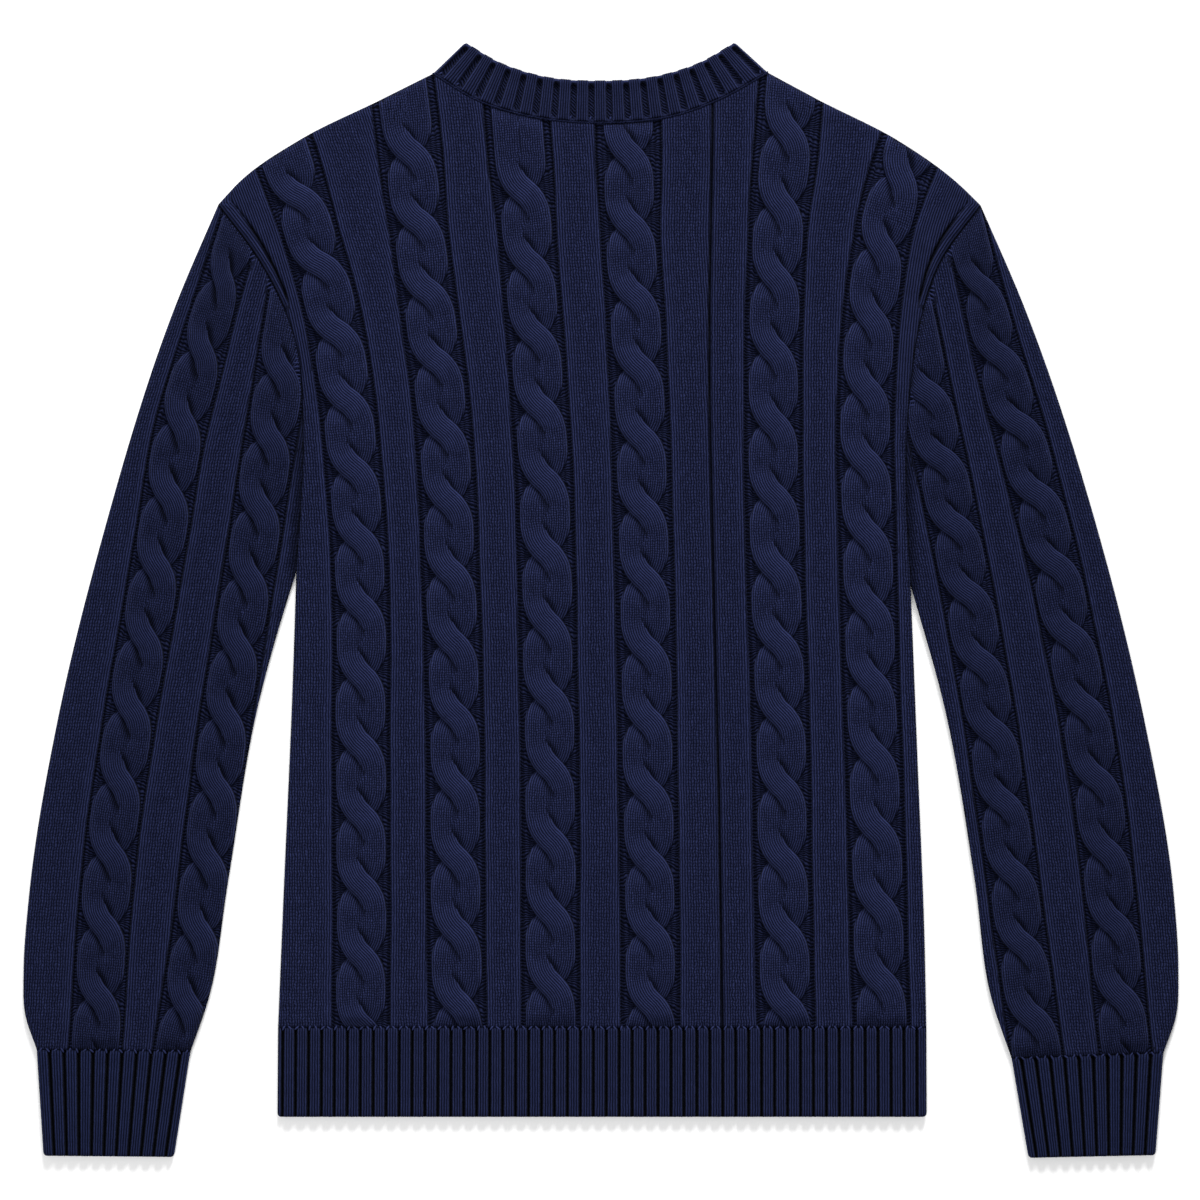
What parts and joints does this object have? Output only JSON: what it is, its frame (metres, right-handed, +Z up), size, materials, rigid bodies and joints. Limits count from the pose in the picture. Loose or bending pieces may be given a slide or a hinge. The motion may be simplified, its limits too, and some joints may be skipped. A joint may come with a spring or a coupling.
{
  "type": "cable knit sweater",
  "caption": "Long-sleeved crew-neck cable knit sweater laid flat with its back up, with rope cables and ribbed neckband, cuffs and hem.",
  "frame": {"origin": "middle of the laid garment, on the surface that it rests on", "axes": "+Z up out of the surface, +Y from the hem to the neckband, +X to the sleeve on the right-hand side of the back view"},
  "size_m": [0.7629, 0.7349, 0.0107],
  "materials": {
    "body_knit": "matte navy cotton knit with rope cables",
    "sleeve_knit": "matte navy cotton knit with rope cables",
    "rib_knit": "matte navy cotton rib knit",
    "neck_rib_knit": "matte navy cotton rib knit, folded double"
  },
  "bodies": {
    "root": {"back_panel": "body_knit", "front_panel": "body_knit", "sleeve_left": "sleeve_knit", "sleeve_right": "sleeve_knit", "cuff_left": "rib_knit", "cuff_right": "rib_knit", "hem_rib": "rib_knit", "neckband": "neck_rib_knit"}
  },
  "joints": []
}
